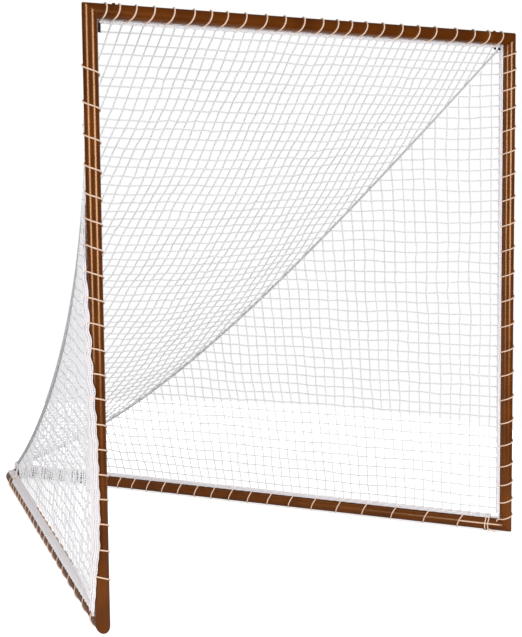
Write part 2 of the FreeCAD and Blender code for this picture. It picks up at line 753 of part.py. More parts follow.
doc.recompute()
for item in doc.Objects:
    if "Invalid" in item.State or "Error" in item.State:
        raise RuntimeError(f"{item.Label} failed: {item.State}")
pieces = [item for item in doc.Objects
          if item.TypeId in ("PartDesign::Body", "Part::Feature", "Part::Cylinder",
                             "Part::Sphere")]
for piece in pieces:
    if piece.Shape.isNull() or not piece.Shape.isValid():
        raise RuntimeError(f"{piece.Label} has no valid shape")
os.makedirs("parts", exist_ok=True)
for piece in pieces:
    piece.Shape.exportStep(f"parts/{piece.Label}.step")
print(f"{len(pieces)} pieces written")
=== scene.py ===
import math
import random

import bmesh
import bpy
from mathutils import Matrix, Vector, noise


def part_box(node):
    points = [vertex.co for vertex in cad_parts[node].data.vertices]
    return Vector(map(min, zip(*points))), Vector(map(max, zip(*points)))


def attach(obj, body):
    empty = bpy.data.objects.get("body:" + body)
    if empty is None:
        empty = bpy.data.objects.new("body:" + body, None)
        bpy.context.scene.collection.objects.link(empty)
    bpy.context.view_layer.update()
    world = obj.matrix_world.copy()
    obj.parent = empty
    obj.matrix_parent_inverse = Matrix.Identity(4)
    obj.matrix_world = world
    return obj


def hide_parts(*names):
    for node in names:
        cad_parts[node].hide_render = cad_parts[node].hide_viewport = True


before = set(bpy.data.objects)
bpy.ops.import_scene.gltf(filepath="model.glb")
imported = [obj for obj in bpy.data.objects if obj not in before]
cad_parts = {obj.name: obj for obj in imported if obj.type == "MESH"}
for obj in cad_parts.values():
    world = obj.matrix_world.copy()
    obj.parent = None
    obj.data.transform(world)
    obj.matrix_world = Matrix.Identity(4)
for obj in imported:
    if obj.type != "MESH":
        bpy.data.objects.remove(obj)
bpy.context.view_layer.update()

# Camera: where the photograph was taken from, to the left of the mouth at a standing
# person's chest height, looking slightly down. The lens is given for a 36 mm wide frame.
camera_data = bpy.data.cameras.new("camera")
camera_data.sensor_fit = "HORIZONTAL"
camera_data.sensor_width = 36.0
camera_data.lens = 100.84
camera_data.clip_end = 100.0
camera = bpy.data.objects.new("camera", camera_data)
bpy.context.scene.collection.objects.link(camera)
bpy.context.scene.camera = camera
turn, tilt, roll = (math.radians(a) for a in (39.369, -6.128, -0.555))
ahead = Vector((math.sin(turn) * math.cos(tilt), math.cos(turn) * math.cos(tilt), math.sin(tilt)))
level = Vector((math.cos(turn), -math.sin(turn), 0.0))
above = level.cross(ahead)
across = level * math.cos(roll) + above * math.sin(roll)
upward = above * math.cos(roll) - level * math.sin(roll)
camera_place = Vector((-3.188, -4.564, 1.382))
camera.matrix_world = Matrix((
    (across.x, upward.x, -ahead.x, camera_place.x),
    (across.y, upward.y, -ahead.y, camera_place.y),
    (across.z, upward.z, -ahead.z, camera_place.z),
    (0.0, 0.0, 0.0, 1.0)))


# Studio: a white floor and white surroundings, with one tall soft lamp on each side of
# the camera. The lamps give each upright tube its two long highlights.
def linear(hex_colour):
    """Blender's linear colour from an sRGB hex value."""
    parts = [int(hex_colour[i:i + 2], 16) / 255 for i in (0, 2, 4)]
    return tuple(c / 12.92 if c <= 0.04045 else ((c + 0.055) / 1.055) ** 2.4
                 for c in parts) + (1.0,)


def add_node(tree, kind, settings=None, links=None):
    """Adds a node, sets its inputs or properties, and links sockets into its inputs."""
    node = tree.nodes.new(kind)
    for key, setting in (settings or {}).items():
        if isinstance(key, int) or key in node.inputs:
            node.inputs[key].default_value = setting
        else:
            setattr(node, key, setting)
    for key, socket in (links or {}).items():
        tree.links.new(socket, node.inputs[key])
    return node


world = bpy.data.worlds.new("studio")
bpy.context.scene.world = world
world.use_nodes = True
tree = world.node_tree
tree.nodes.clear()
sight = add_node(tree, "ShaderNodeLightPath")
seen = add_node(tree, "ShaderNodeMath", {"operation": "MAXIMUM"},
                {0: sight.outputs["Is Camera Ray"], 1: sight.outputs["Is Transmission Ray"]})
# Reflections find the white sweep behind the goal and the dim room in front of it
direction = add_node(tree, "ShaderNodeTexCoord")
facing = add_node(tree, "ShaderNodeVectorMath", {"operation": "DOT_PRODUCT", 1: ahead},
                  {0: direction.outputs["Generated"]})
sweep = add_node(tree, "ShaderNodeMapRange",
                 {"From Min": 0.8, "From Max": 0.95, "To Min": 0.03, "To Max": 1.0},
                 {"Value": facing.outputs["Value"]})
mirrored = add_node(tree, "ShaderNodeMath", {"operation": "MULTIPLY"},
                    {0: sight.outputs["Is Glossy Ray"], 1: sweep.outputs[0]})
# The ceiling is lighter than the walls
rising = add_node(tree, "ShaderNodeVectorMath", {"operation": "DOT_PRODUCT", 1: (0.0, 0.0, 1.0)},
                  {0: direction.outputs["Generated"]})
walls = add_node(tree, "ShaderNodeMapRange",
                 {"From Min": 0.1, "From Max": 0.9, "To Min": 0.38, "To Max": 0.72},
                 {"Value": rising.outputs["Value"]})
matt_light = add_node(tree, "ShaderNodeMath", {"operation": "MULTIPLY"},
                      {0: walls.outputs[0], 1: sight.outputs["Is Diffuse Ray"]})
level_light = add_node(tree, "ShaderNodeMath", {"operation": "MAXIMUM"},
                       {0: matt_light.outputs[0], 1: mirrored.outputs[0]})
strength = add_node(tree, "ShaderNodeMath", {"operation": "MAXIMUM"},
                    {0: level_light.outputs[0], 1: seen.outputs[0]})
sky = add_node(tree, "ShaderNodeBackground", {"Color": (1.0, 1.0, 1.0, 1.0)},
               {"Strength": strength.outputs[0]})
add_node(tree, "ShaderNodeOutputWorld", {}, {"Surface": sky.outputs[0]})


def studio_lamp(name, side_angle, distance, height, wide, high, watts):
    """Area lamp at an angle from the camera's direction, seen from the goal's mouth."""
    middle = Vector((0.0, -0.6, 0.9))
    back = math.atan2(-ahead.y, -ahead.x) + math.radians(side_angle)
    place = middle + Vector((math.cos(back), math.sin(back), 0.0)) * distance
    place.z = height
    data = bpy.data.lights.new(name, "AREA")
    data.shape = "RECTANGLE"
    data.size, data.size_y = wide, high
    data.energy = watts
    lamp = bpy.data.objects.new(name, data)
    bpy.context.scene.collection.objects.link(lamp)
    lamp.location = place
    lamp.rotation_euler = (middle - place).to_track_quat("-Z", "Y").to_euler()


studio_lamp("lamp_left", side_angle=-38.0, distance=6.0, height=1.4, wide=1.5, high=2.4,
            watts=125.0)
studio_lamp("lamp_right", side_angle=42.0, distance=6.0, height=1.4, wide=2.0, high=2.4,
            watts=175.0)

bm = bmesh.new()
bmesh.ops.create_circle(bm, cap_ends=True, segments=64, radius=2.5,
                        matrix=Matrix.Translation((0.0, 0.5, 0.0)))
floor_mesh = bpy.data.meshes.new("floor")
bm.to_mesh(floor_mesh)
bm.free()
floor = bpy.data.objects.new("floor", floor_mesh)
bpy.context.scene.collection.objects.link(floor)
# White paper: to the camera it glows a little like an evenly lit sweep, and fully so well
# away from the goal. The rest of its brightness comes from the lamps and keeps the shadow.
paper = bpy.data.materials.new("white_paper")
paper.use_nodes = True
tree = paper.node_tree
tree.nodes.clear()
place = add_node(tree, "ShaderNodeTexCoord")
away = add_node(tree, "ShaderNodeVectorMath", {"operation": "LENGTH"},
                {0: place.outputs["Object"]})
even = add_node(tree, "ShaderNodeMapRange",
                {"From Min": 1.2, "From Max": 1.9, "To Min": 0.70, "To Max": 1.0},
                {"Value": away.outputs["Value"]})
sight = add_node(tree, "ShaderNodeLightPath")
mirrored = add_node(tree, "ShaderNodeMath", {"operation": "MULTIPLY", 1: 0.2},
                    {0: sight.outputs["Is Glossy Ray"]})
seen = add_node(tree, "ShaderNodeMath", {"operation": "MAXIMUM"},
                {0: sight.outputs["Is Camera Ray"], 1: sight.outputs["Is Transmission Ray"]})
seen = add_node(tree, "ShaderNodeMath", {"operation": "MAXIMUM"},
                {0: seen.outputs[0], 1: mirrored.outputs[0]})
share = add_node(tree, "ShaderNodeMath", {"operation": "MULTIPLY"},
                 {0: seen.outputs[0], 1: even.outputs[0]})
# Painted dim reflection: to the frame's gloss only, the floor is painted a darker grey,
# so the gloss shows little of the floor, as on a goal that stands on dull ground
reflection_dimmed = add_node(tree, "ShaderNodeValToRGB", {}, {"Fac": sight.outputs["Is Glossy Ray"]})
reflection_dimmed.color_ramp.elements[0].color = linear("F4F4F4")
reflection_dimmed.color_ramp.elements[1].color = linear("707070")
matt = add_node(tree, "ShaderNodeBsdfDiffuse", {}, {"Color": reflection_dimmed.outputs["Color"]})
glow = add_node(tree, "ShaderNodeEmission", {"Color": (1.0, 1.0, 1.0, 1.0)},
                {"Strength": share.outputs[0]})
both = add_node(tree, "ShaderNodeAddShader", {}, {0: matt.outputs[0], 1: glow.outputs[0]})
add_node(tree, "ShaderNodeOutputMaterial", {}, {"Surface": both.outputs[0]})
floor_mesh.materials.append(paper)
bpy.context.scene.view_settings.view_transform = "Standard"


# Frame tubes: round steel tube of 44.45 mm, cut at 45 degrees where two meet and held
# by hidden elbows. Two straight bars run along the ground to one bent tube at the rear.
# All are powder coated in a glossy orange-brown, after their edges were broken.
TUBE_RADIUS = 0.022225
TUBE_SIDES = 64
SEAM = 0.0003
RIM_LOOP = 0.0015
EDGE_BREAK = 0.0004
low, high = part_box("crossbar")
mouth_y = (low[1] + high[1]) / 2
top_z = (low[2] + high[2]) / 2
half_span = high[0] - TUBE_RADIUS + SEAM / 2
low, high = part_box("rear_bend")
bar_z = (low[2] + high[2]) / 2
crown_y = high[1] - TUBE_RADIUS
BEND_RADIUS = 0.065
BEND_LEG = 0.060
GOAL_DEPTH = 2.1336
splay = math.atan2(half_span, GOAL_DEPTH)
vertex_y = mouth_y + GOAL_DEPTH
UP = Vector((0.0, 0.0, 1.0))
RIGHT = Vector((1.0, 0.0, 0.0))


def bar_direction(side):
    return Vector((-side * math.sin(splay), math.cos(splay), 0.0))


def foot(side):
    return Vector((side * half_span, mouth_y, bar_z))


def top_corner(side):
    return Vector((side * half_span, mouth_y, top_z))


def link_piece(name, mesh, material, node):
    """Adds a finished mesh as a smooth piece that stands for a CAD node."""
    piece = bpy.data.objects.new(name, mesh)
    bpy.context.scene.collection.objects.link(piece)
    mesh.materials.append(material)
    mesh.polygons.foreach_set("use_smooth", [True] * len(mesh.polygons))
    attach(piece, "root")
    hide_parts(node)


def powder_coat():
    """Gloss powder coat: a faint orange peel, a drifting tone and warm highlights."""
    material = bpy.data.materials.new("powder_coat_orange_brown")
    material.use_nodes = True
    tree = material.node_tree
    shader = tree.nodes["Principled BSDF"]
    place = add_node(tree, "ShaderNodeTexCoord")
    # Tone drifts over a hand's width of tube
    drift = add_node(tree, "ShaderNodeTexNoise", {"Scale": 9.0, "Detail": 3.0},
                     {"Vector": place.outputs["Object"]})
    tone = add_node(tree, "ShaderNodeValToRGB", {}, {"Fac": drift.outputs["Fac"]})
    tone.color_ramp.elements[0].position = 0.35
    tone.color_ramp.elements[0].color = linear("5A2902")
    tone.color_ramp.elements[1].position = 0.7
    tone.color_ramp.elements[1].color = linear("6D3504")
    tree.links.new(tone.outputs["Color"], shader.inputs["Base Color"])
    # Orange peel of about 3 mm, the scale that powder coat flows to
    peel = add_node(tree, "ShaderNodeTexNoise", {"Scale": 330.0, "Detail": 1.0},
                    {"Vector": place.outputs["Object"]})
    bump = add_node(tree, "ShaderNodeBump", {"Strength": 0.06, "Distance": 0.0004},
                    {"Height": peel.outputs["Fac"]})
    tree.links.new(bump.outputs["Normal"], shader.inputs["Normal"])
    shader.inputs["Roughness"].default_value = 0.24
    shader.inputs["IOR"].default_value = 1.8
    shader.inputs["Specular IOR Level"].default_value = 0.5
    shader.inputs["Specular Tint"].default_value = linear("FFD2A4")
    return material


paint = powder_coat()


def finish_ends(bm):
    """Closes the tube's ends and breaks their edges."""
    bmesh.ops.recalc_face_normals(bm, faces=bm.faces[:])
    rims = [e for e in bm.edges if e.is_boundary]
    bmesh.ops.holes_fill(bm, edges=rims, sides=0)
    rims = [e for e in bm.edges if len(e.link_faces) == 2
            and e.link_faces[0].normal.angle(e.link_faces[1].normal, 0.0) > math.radians(30)]
    bmesh.ops.bevel(bm, geom=rims, offset=EDGE_BREAK, offset_type="OFFSET", segments=2,
                    profile=0.5, affect="EDGES", material=-1)
    bmesh.ops.recalc_face_normals(bm, faces=bm.faces[:])


def cut_loop(bm, point, outward, clear):
    """Cuts a loop through all faces, and can clear what is outside of it."""
    bmesh.ops.bisect_plane(bm, geom=bm.verts[:] + bm.edges[:] + bm.faces[:], plane_co=point,
                           plane_no=outward, clear_outer=clear)


def mitred_tube(name, start, end, cuts):
    """A straight tube between two centre points, past them by a radius, then cut. Each
    loop close to an end keeps the rounding of the rim off the long faces."""
    bm = bmesh.new()
    heading = (end - start).normalized()
    place = Matrix.Translation(start - heading * TUBE_RADIUS) @ \
        heading.to_track_quat("Z", "X").to_matrix().to_4x4()
    bmesh.ops.create_circle(bm, segments=TUBE_SIDES, radius=TUBE_RADIUS, matrix=place)
    long_way = heading * ((end - start).length + 2 * TUBE_RADIUS)
    swept = bmesh.ops.extrude_edge_only(bm, edges=bm.edges[:])
    bmesh.ops.translate(bm, vec=long_way,
                        verts=[v for v in swept["geom"] if isinstance(v, bmesh.types.BMVert)])
    for point, outward in cuts:
        cut_loop(bm, point - outward * RIM_LOOP, outward, False)
        cut_loop(bm, point, outward, True)
    finish_ends(bm)
    mesh = bpy.data.meshes.new(name)
    bm.to_mesh(mesh)
    bm.free()
    link_piece(name + "_tube", mesh, paint, name)


def seam_cut(corner, own, other):
    """Mitre plane at a corner, for the tube that runs along own away from it."""
    outward = (other - own).normalized()
    return corner - outward * SEAM / 2, outward


for side, name in ((-1, "left"), (1, "right")):
    mitred_tube(f"{name}_post", foot(side), top_corner(side),
                [seam_cut(foot(side), UP, bar_direction(side)),
                 seam_cut(top_corner(side), -UP, RIGHT * -side)])
    bar_end = Vector((0.0, vertex_y, bar_z)) - bar_direction(side) * (
        BEND_RADIUS / math.tan(splay) + BEND_LEG + SEAM)
    mitred_tube(f"{name}_ground_bar", foot(side), bar_end,
                [seam_cut(foot(side), bar_direction(side), UP),
                 (bar_end, bar_direction(side))])
mitred_tube("crossbar", top_corner(-1), top_corner(1),
            [seam_cut(top_corner(-1), RIGHT, -UP), seam_cut(top_corner(1), -RIGHT, -UP)])

# The rear bend is one tube, pushed round a 65 mm former, with a straight leg each side.
BEND_STEPS = 28
bm = bmesh.new()
bend_centre = Vector((0.0, vertex_y - BEND_RADIUS / math.sin(splay), bar_z))
left_tangent = bend_centre + UP.cross(bar_direction(-1)) * BEND_RADIUS
leg_start = left_tangent - bar_direction(-1) * BEND_LEG
place = Matrix.Translation(leg_start) @ \
    bar_direction(-1).to_track_quat("Z", "X").to_matrix().to_4x4()
bmesh.ops.create_circle(bm, segments=TUBE_SIDES, radius=TUBE_RADIUS, matrix=place)
swept = bmesh.ops.extrude_edge_only(bm, edges=bm.edges[:])
front_ring = [g for g in swept["geom"] if isinstance(g, bmesh.types.BMEdge)]
front_verts = [g for g in swept["geom"] if isinstance(g, bmesh.types.BMVert)]
bmesh.ops.translate(bm, vec=bar_direction(-1) * BEND_LEG, verts=front_verts)
spun = bmesh.ops.spin(bm, geom=front_ring + front_verts, cent=bend_centre, axis=-UP,
                      angle=math.pi - 2 * splay, steps=BEND_STEPS, use_merge=False)
last_ring = [g for g in spun["geom_last"] if isinstance(g, bmesh.types.BMEdge)]
swept = bmesh.ops.extrude_edge_only(bm, edges=last_ring)
bmesh.ops.translate(bm, vec=-bar_direction(1) * BEND_LEG,
                    verts=[v for v in swept["geom"] if isinstance(v, bmesh.types.BMVert)])
bmesh.ops.remove_doubles(bm, verts=bm.verts[:], dist=1e-6)
cut_loop(bm, leg_start + bar_direction(-1) * RIM_LOOP, bar_direction(-1), False)
right_start = bend_centre + bar_direction(1).cross(UP) * BEND_RADIUS - bar_direction(1) * BEND_LEG
cut_loop(bm, right_start + bar_direction(1) * RIM_LOOP, bar_direction(1), False)
finish_ends(bm)
mesh = bpy.data.meshes.new("rear_bend")
bm.to_mesh(mesh)
bm.free()
link_piece("rear_bend_tube", mesh, paint, "rear_bend")


# Hidden elbows, sleeves and screws: zinc-plated steel that slides inside the tubes, and
# button-head screws on top of the crossbar and under the ground bars. The CAD shapes stay,
# and the screws are coated with the frame, because no bright head shows on it.
def zinc_plate(name, colour, roughness):
    """Bright zinc: fine drawn lines and a slightly cloudy passivation."""
    material = bpy.data.materials.new(name)
    material.use_nodes = True
    tree = material.node_tree
    shader = tree.nodes["Principled BSDF"]
    place = add_node(tree, "ShaderNodeTexCoord")
    clouds = add_node(tree, "ShaderNodeTexNoise", {"Scale": 60.0, "Detail": 2.0},
                      {"Vector": place.outputs["Object"]})
    rough = add_node(tree, "ShaderNodeMapRange",
                     {"To Min": roughness - 0.06, "To Max": roughness + 0.08},
                     {"Value": clouds.outputs["Fac"]})
    tree.links.new(rough.outputs[0], shader.inputs["Roughness"])
    shader.inputs["Base Color"].default_value = linear(colour)
    shader.inputs["Metallic"].default_value = 1.0
    return material


zinc = zinc_plate("zinc_plated_steel", "B9BABC", 0.32)
for node in ("top_left_insert", "top_right_insert", "left_foot_insert", "right_foot_insert",
             "rear_left_sleeve", "rear_right_sleeve", "frame_screws"):
    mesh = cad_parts[node].data
    mesh.materials.clear()
    mesh.materials.append(paint if node == "frame_screws" else zinc)


# Net: knotted white polyester twine of 3 mm in 38 mm squares, drawn at 4.6 mm so that it
# shows. The roof and the two sides are cut from it and sewn to a border rope all round, and
# to each other along the creases.
MESH = 0.038
TWINE_RADIUS = 0.0023
KNOT_SIZE = 0.0036
ROPE_RADIUS = 0.004
ROPE_GAP = 0.0003
ROPE_REACH = TUBE_RADIUS + ROPE_GAP + ROPE_RADIUS
KNOT_RADIUS = 0.014
CREASE_DROP = 0.230
CREASE_PULL = 0.075
UPPER_PULL = 0.8
ROOF_SAG = 0.03
SIDE_LENGTH = 2.2
# Powers by which a crease and a side net leave the left post's drifting edge, and the
# share of its way over which a side net's top blends into the crease
CREASE_FADE = 8
SIDE_FADE = 6
CREASE_BLEND = 0.125
low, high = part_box("rear_knot")
knot = Vector([(low[i] + high[i]) / 2 for i in range(3)])
post_turn, bar_turn = math.radians(50), math.radians(55)
post_rope_way = Vector((-math.sin(post_turn), math.cos(post_turn), 0.0))
crossbar_rope_way = Vector((0.0, math.cos(bar_turn), -math.sin(bar_turn)))
net_top = top_z + ROPE_REACH * crossbar_rope_way.z


def net_corner(side, height):
    """Point of the net's corner line, along the border rope of a post."""
    point = foot(side) + post_rope_way * ROPE_REACH
    return Vector((point.x, point.y, height))


# Turn of the rope round the left post at some heights, in degrees from +X: behind the
# post in its upper part, pulled round its outside further down, and back at the foot.
LEFT_ROPE_TURN = ((0.05, 145), (0.17, 180), (0.26, 205), (0.38, 212), (0.55, 209), (0.69, 200),
                  (0.84, 185), (0.98, 168), (1.15, 130), (1.35, 85), (1.60, 75), (1.79, 75))
# A hand lays each turn of a lacing this far from its place
HAND_ERROR = 0.0035


def even_bounds(turns, first, last, seed, near_first=0.0, near_last=0.0, power=3, uneven=0.0):
    """Bounds of a lacing's turns along its tube, with a hand's error. The turns can lie
    wider or closer at either end, and be uneven."""
    chance = random.Random(seed)
    widths = [1 + near_first * (1 - i / (turns - 1)) ** power
              + near_last * (i / (turns - 1)) ** power for i in range(turns)]
    if uneven:
        widths = [width * chance.uniform(1 - uneven, 1 + uneven) for width in widths]
    bounds = [first]
    for width in widths:
        bounds.append(bounds[-1] + (last - first) * width / sum(widths))
    return [bound + chance.uniform(-HAND_ERROR, HAND_ERROR) for bound in bounds]


post_height = top_z - bar_z
left_bounds = even_bounds(20, 0.090, post_height - 0.120, seed=13, near_first=0.1,
                          near_last=0.4, power=6)


def ramp(value, start, end):
    """From 0 at start to 1 at end, and level outside of them."""
    return min(max((value - start) / (end - start), 0.0), 1.0)


def left_rope_drift(height):
    """The rope's turn at a height, blended smoothly between the places above."""
    for (low, first), (high, second) in zip(LEFT_ROPE_TURN, LEFT_ROPE_TURN[1:]):
        if height <= high:
            share = ramp(height, low, high)
            return math.radians(first + (second - first) * share * share * (3 - 2 * share))
    return math.radians(LEFT_ROPE_TURN[-1][1])


def left_rope_turn(height):
    """The rope's turn with its spring back between two turns of the lacing, which is 5
    degrees below 0.6 m and 18 degrees above 0.9 m."""
    slack = math.radians(5 + 13 * ramp(height, 0.6, 0.9))
    for low, high in zip(left_bounds, left_bounds[1:]):
        if low < height - bar_z < high:
            share = (height - bar_z - low) / (high - low)
            return left_rope_drift(height) - slack * math.sin(math.pi * share) ** 2
    return left_rope_drift(height)


def round_post(turned, height, reach):
    """Point round the left post, turned from +X."""
    return Vector((foot(-1).x + reach * math.cos(turned), mouth_y + reach * math.sin(turned),
                   height))


def net_edge(side, height):
    """Point of the net's edge on a post's border rope, which drifts round the left post."""
    if side < 0:
        return round_post(left_rope_turn(height), height, ROPE_REACH)
    return net_corner(side, height)


def crease(side, share):
    """Point of a crease at a share of its way from the top corner to the knot. Each crease
    hangs slack, and the roof pulls it inwards, most in its upper half."""
    slack = 4 * share * (1 - share)
    corner = net_corner(side, net_top)
    point = corner.lerp(knot, share) + (net_edge(side, net_top) - corner) * (
        1 - share) ** CREASE_FADE
    point.z -= CREASE_DROP * slack
    point.x -= side * CREASE_PULL * slack * (1 + UPPER_PULL * (1 - 2 * share))
    return point


def share_where(reaches, first=0.0, last=1.0):
    """Share at which a falling quantity of the crease passes zero, by halving."""
    for _ in range(30):
        middle = (first + last) / 2
        if reaches(middle) > 0:
            first = middle
        else:
            last = middle
    return (first + last) / 2


SLACK_WAVE = 0.008
SLACK_RIPPLE = 0.0045


def sway(point):
    """Small slack of the net at a point, the same for each strand that meets there: waves
    of about 200 mm and ripples of about 30 mm."""
    wave = Vector([noise.noise(point * 5.0 + Vector((k * 7.3, 1.7, 4.1))) for k in range(3)])
    ripple = Vector([noise.noise(point * 31.0 + Vector((k * 3.1, 9.2, 2.6)))
                     for k in range(3)])
    return wave * SLACK_WAVE + ripple * SLACK_RIPPLE


def twine_material(name, hollow, crest):
    """Twisted polyester twine: soft white, with painted shade greying the hollows along the
    twist.
    """
    material = bpy.data.materials.new(name)
    material.use_nodes = True
    tree = material.node_tree
    shader = tree.nodes["Principled BSDF"]
    place = add_node(tree, "ShaderNodeTexCoord")
    # The twist shows as 2 mm ridges, coarser than the real 1 mm, with painted shade in their
    # hollows
    ridges = add_node(tree, "ShaderNodeTexWave",
                      {"wave_type": "BANDS", "bands_direction": "DIAGONAL", "Scale": 160.0,
                       "Distortion": 1.5},
                      {"Vector": place.outputs["Object"]})
    tone = add_node(tree, "ShaderNodeValToRGB", {}, {"Fac": ridges.outputs["Fac"]})
    tone.color_ramp.elements[0].color = linear(hollow)
    tone.color_ramp.elements[1].color = linear(crest)
    tree.links.new(tone.outputs["Color"], shader.inputs["Base Color"])
    bump = add_node(tree, "ShaderNodeBump", {"Strength": 0.3, "Distance": 0.0003},
                    {"Height": ridges.outputs["Fac"]})
    tree.links.new(bump.outputs["Normal"], shader.inputs["Normal"])
    shader.inputs["Roughness"].default_value = 0.85
    shader.inputs["Sheen Weight"].default_value = 0.2
    return material


twine = twine_material("polyester_twine_white", "DBDADE", "F0F0F1")


def strands_to_mesh(name, strands, radius, resolution=1, spline="POLY"):
    """One mesh of round strands from lists of points."""
    curve = bpy.data.curves.new(name, "CURVE")
    curve.dimensions = "3D"
    curve.bevel_depth = radius
    curve.bevel_resolution = resolution
    curve.use_fill_caps = True
    curve.resolution_u = 2
    for points in strands:
        run = curve.splines.new(spline)
        run.points.add(len(points) - 1)
        for slot, point in zip(run.points, points):
            slot.co = (*point, 1.0)
        if spline == "NURBS":
            run.order_u = 3
            run.use_endpoint_u = True
    holder = bpy.data.objects.new(name, curve)
    bpy.context.scene.collection.objects.link(holder)
    mesh = bpy.data.meshes.new_from_object(holder.evaluated_get(
        bpy.context.evaluated_depsgraph_get()))
    bpy.data.objects.remove(holder)
    bpy.data.curves.remove(curve)
    mesh.name = name
    return mesh


def knots_to_mesh(name, points, radius):
    """One mesh of small round knots."""
    bm = bmesh.new()
    bmesh.ops.create_icosphere(bm, subdivisions=1, radius=radius)
    ball = [v.co.copy() for v in bm.verts]
    faces = [[v.index for v in face.verts] for face in bm.faces]
    bm.free()
    mesh = bpy.data.meshes.new(name)
    mesh.from_pydata([point + corner for point in points for corner in ball], [],
                     [[i + len(ball) * k for i in face]
                      for k in range(len(points)) for face in faces])
    return mesh


def spaced(first, last, count):
    """Numbers from first to last in equal steps."""
    return [first + (last - first) * i / count for i in range(count + 1)]


def stops(first, last):
    """Places along a strand where others cross it, with both ends."""
    return spaced(first, last, max(1, round(abs(last - first) / MESH)))


rope_z = bar_z + ROPE_REACH
# Each ground bar's rope leaves the bar here, measured from the foot, and runs to the knot.
# The near side net stands further out, and the shift fades before the knot.
ROPE_LEAVES = 1.95
NEAR_FOOT_SHIFT = 0.014
NEAR_FOOT_FADE = 0.125


def net_foot(side, y):
    """Across place of a side net's foot: along the ground bar, then in to the knot."""
    late_y = mouth_y + ROPE_LEAVES * math.cos(splay)
    x = half_span * (1 - (min(y, late_y) - mouth_y) / GOAL_DEPTH)
    if y > late_y:
        x *= (knot.y - y) / (knot.y - late_y)
    shift = NEAR_FOOT_SHIFT * ramp(x, 0.0, NEAR_FOOT_FADE) if side < 0 else 0.0
    return side * (x - shift)


def side_point(side, share, height):
    """Point of a side net at a share of the way to the knot and at a height. Its foot
    stands on the ground bar, its top follows the crease inwards, and it sways freely
    100 mm away from its edges."""
    corner = net_edge(side, height)
    point = Vector((0.0, corner.y + (knot.y - corner.y) * share, height))
    point.x = net_foot(side, point.y) + (corner.x - net_foot(side, corner.y)) * (
        1 - share) ** SIDE_FADE
    base = rope_z + (knot.z - rope_z) * share
    top = crease(side, share)
    lifted = ramp(height, base, max(top.z, base + 0.02))
    point.x += (top.x - point.x) * lifted * ramp(share, 0.0, CREASE_BLEND)
    loose = min(1.0, 10 * min(share * SIDE_LENGTH, height - base + 0.01,
                              max(top.z - height, 0.0)))
    return point + sway(point) * max(loose, 0.08)


# The last column and row keep these gaps, and shorter strands than this are left out
COLUMN_GAP = 0.02
ROW_GAP = 0.01
SHORTEST = 0.006
reach = (knot - net_corner(1, knot.z)).length
for side, name in ((-1, "left"), (1, "right")):
    strands = []
    column = MESH
    while column < reach - COLUMN_GAP:
        share = column / reach
        base = rope_z + (knot.z - rope_z) * share
        top = crease(side, share).z
        if top - base > SHORTEST:
            strands.append([side_point(side, share, v) for v in stops(base, top)])
        column += MESH
    row = rope_z + MESH
    while row < net_top - ROW_GAP:
        last = share_where(lambda share: crease(side, share).z - row)
        strands.append([side_point(side, u / reach, row) for u in stops(0.0, last * reach)])
        row += MESH
    mesh = strands_to_mesh(f"{name}_side_mesh", strands, TWINE_RADIUS)
    link_piece(f"{name}_side_mesh", mesh, twine, f"{name}_side_net")
    ties = []
    for column in range(1, int(reach / MESH)):
        share = column * MESH / reach
        row = rope_z + MESH
        while row < crease(side, share).z:
            ties.append(side_point(side, share, row))
            row += MESH
    mesh = knots_to_mesh(f"{name}_side_knots", ties, KNOT_SIZE)
    link_piece(f"{name}_side_knots", mesh, twine, f"{name}_side_net")


def roof_point(x, share):
    """Point of the roof: level from crease to crease, with a little more slack inside. It
    sways least along its edges."""
    left, right = crease(-1, share), crease(1, share)
    inner = max(0.0, (x - left.x) * (right.x - x)) / max((right.x - left.x) ** 2 / 4, 1e-6)
    point = Vector((x, left.y, left.z - ROOF_SAG * inner * 4 * share * (1 - share)))
    return point + sway(point) * min(1.0, 0.1 + 3 * inner * min(1.0, 12 * share))


WALK_STEPS = 400
strands = []
widest = net_corner(-1, 0.0).x, net_corner(1, 0.0).x
walked = [(crease(1, i / WALK_STEPS) - crease(1, (i + 1) / WALK_STEPS)).yz.length
          for i in range(WALK_STEPS)]
for column in range(math.ceil(widest[0] / MESH), math.floor(widest[1] / MESH) + 1):
    x = column * MESH
    side = 1 if x > 0 else -1
    last = share_where(lambda share: side * (crease(side, share).x - x))
    count = max(1, round(sum(walked[:round(last * WALK_STEPS)]) / MESH))
    strands.append([roof_point(x, last * i / count) for i in range(count + 1)])
passed = 0.0
ties = []
for i, step in enumerate(walked):
    if (passed + step) // MESH > passed // MESH and i < WALK_STEPS - 8:
        share = (i + 0.5) / WALK_STEPS
        left, right = crease(-1, share).x, crease(1, share).x
        strands.append([roof_point(x, share) for x in stops(left, right)])
        ties += [roof_point(column * MESH, share) for column in
                 range(math.ceil(left / MESH), math.floor(right / MESH) + 1)]
    passed += step
mesh = strands_to_mesh("roof_mesh", strands, TWINE_RADIUS)
link_piece("roof_mesh", mesh, twine, "roof_net")
mesh = knots_to_mesh("roof_knots", ties, KNOT_SIZE)
link_piece("roof_knots", mesh, twine, "roof_net")
